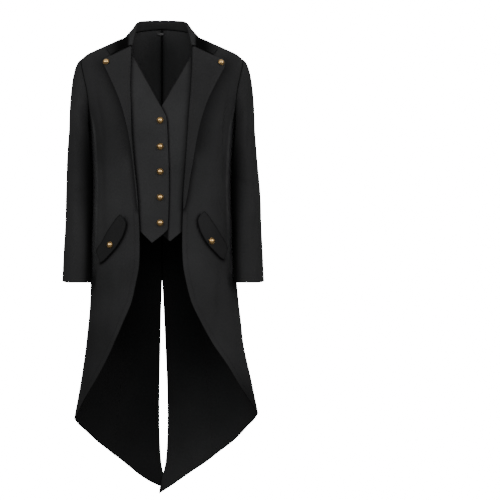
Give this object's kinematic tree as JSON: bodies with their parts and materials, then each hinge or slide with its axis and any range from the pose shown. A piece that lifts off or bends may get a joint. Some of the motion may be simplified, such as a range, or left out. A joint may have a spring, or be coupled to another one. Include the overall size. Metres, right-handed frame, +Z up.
{
  "type": "steampunk tailcoat",
  "caption": "Long black tailcoat with a turned-down collar, sewn-in waistcoat front, slanted pocket flaps, domed brass buttons, a belted back and two pointed tails.",
  "frame": {"origin": "between the wearer's shoulders, level with the neck ends of the shoulder seams, where the coat is carried", "axes": "+Z up, -Y the coat's front, +X the wearer's left"},
  "size_m": [0.5456, 0.284, 1.3122],
  "materials": {
    "coat_cloth": "black polyester twill, matt with a soft sheen",
    "waistcoat_cloth": "the same black twill, a little lighter in the light",
    "buttons": "domed antique gold with darkened recesses",
    "label": "blank black woven tape"
  },
  "bodies": {
    "root": {"front_left": "coat_cloth", "front_right": "coat_cloth", "side_back_left": "coat_cloth", "side_back_right": "coat_cloth", "back_left": "coat_cloth", "back_right": "coat_cloth", "top_sleeve_left": "coat_cloth", "top_sleeve_right": "coat_cloth", "under_sleeve_left": "coat_cloth", "under_sleeve_right": "coat_cloth", "collar": "coat_cloth", "lapel_left": "coat_cloth", "lapel_right": "coat_cloth", "pocket_flap_left": "coat_cloth", "pocket_flap_right": "coat_cloth", "back_belt": "coat_cloth", "vest_right": "waistcoat_cloth", "vest_left": "waistcoat_cloth", "lapel_button_left": "buttons", "lapel_button_right": "buttons", "vest_button_1": "buttons", "vest_button_2": "buttons", "vest_button_3": "buttons", "vest_button_4": "buttons", "vest_button_5": "buttons", "flap_button_left": "buttons", "flap_button_right": "buttons", "belt_button_left": "buttons", "belt_button_right": "buttons", "cuff_button_left_1": "buttons", "cuff_button_left_2": "buttons", "cuff_button_left_3": "buttons", "cuff_button_right_1": "buttons", "cuff_button_right_2": "buttons", "cuff_button_right_3": "buttons", "neck_label": "label"}
  },
  "joints": []
}
